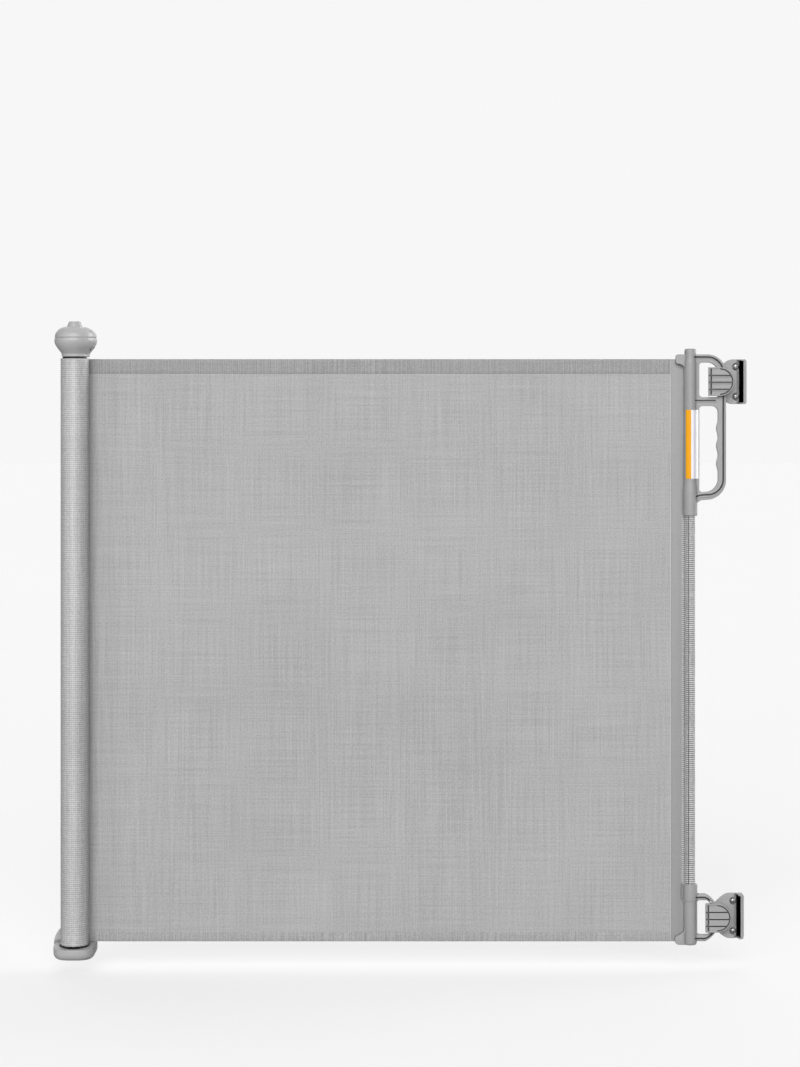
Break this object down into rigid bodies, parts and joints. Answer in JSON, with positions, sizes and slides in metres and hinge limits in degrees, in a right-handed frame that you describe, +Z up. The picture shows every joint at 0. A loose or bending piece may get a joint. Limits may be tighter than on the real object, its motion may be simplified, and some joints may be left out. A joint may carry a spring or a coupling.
{
  "type": "retractable mesh safety gate",
  "caption": "Retractable mesh safety gate: a cloth roller in wall brackets, and a pull bar whose handle and foot loops hook behind the tongues of wall latch brackets.",
  "frame": {"origin": "middle of the lower roller bracket's wall face, in the plane of the wall", "axes": "+X along the wall from the roller towards the latch brackets, +Y into the wall, +Z up"},
  "size_m": [0.94, 0.0848, 0.8581],
  "materials": {
    "plastic": "satin mid grey",
    "cloth": "woven grey mesh",
    "steel": "zinc plated",
    "aluminium": "drawn",
    "nylon": "natural nylon",
    "label": "printed film, blank"
  },
  "bodies": {
    "root": {"lower_roller_bracket": "plastic", "lower_bracket_screw_left": "steel", "lower_bracket_screw_right": "steel", "lower_bush": "nylon", "spring_spindle": "steel", "torsion_spring": "steel", "upper_wall_plate": "steel", "upper_plate_screw_left": "steel", "upper_plate_screw_right": "steel", "cap_lower_shell": "plastic", "cap_dome": "plastic", "cap_screw": "steel", "lock_guide_plate": "steel", "button_spring": "steel", "latch_bracket_upper": "plastic", "latch_bracket_lower": "plastic", "upper_latch_screw_top": "steel", "upper_latch_screw_bottom": "steel", "lower_latch_screw_top": "steel", "lower_latch_screw_bottom": "steel", "mesh_panel": "cloth"},
    "roller": {"roller_tube": "aluminium", "mesh_roll": "cloth", "lower_end_plug": "nylon", "spring_drive_plug": "nylon", "upper_end_plug": "nylon", "ratchet_wheel": "steel"},
    "button_slider": {"thrust_washer": "steel"},
    "knob_body": {"lock_knob": "plastic", "cam_plunger": "nylon"},
    "pawl": {"lock_pawl": "steel"},
    "bar": {"leading_hem": "cloth", "end_rod": "aluminium", "rod_sleeve": "cloth", "handle": "plastic", "side_label": "label", "handle_rod_screw": "steel", "bottom_fitting": "plastic", "fitting_rod_screw": "steel"}
  },
  "joints": [
    {"name": "bar_retract", "type": "slide", "parent": "root", "child": "bar", "axis": [1, 0, 0], "range_m": [-0.775, 0], "deforming": ["mesh_panel"]},
    {"name": "roller_spin", "type": "hinge", "parent": "root", "child": "roller", "pos_m": [0, -0.029, 0], "axis": [0, 0, 1], "range_deg": [0, 2280.5]},
    {"name": "button_press", "type": "slide", "parent": "root", "child": "button_slider", "axis": [0, 0, -1], "range_m": [0, 0.0035], "stiffness_N_per_m": 600, "springref_m": -0.003, "deforming": ["button_spring"]},
    {"name": "button_turn", "type": "hinge", "parent": "button_slider", "child": "knob_body", "pos_m": [0, -0.029, 0.8], "axis": [0, 0, 1], "range_deg": [0, 90]},
    {"name": "pawl_slide", "type": "slide", "parent": "root", "child": "pawl", "axis": [1, 0, 0], "range_m": [0, 0.0022]}
  ],
  "couplings": [
    {"joint": "roller_spin", "follows": "bar_retract", "rad_per_m": -51.346},
    {"joint": "pawl_slide", "follows": "button_turn", "m_per_rad": 0.0014005}
  ]
}
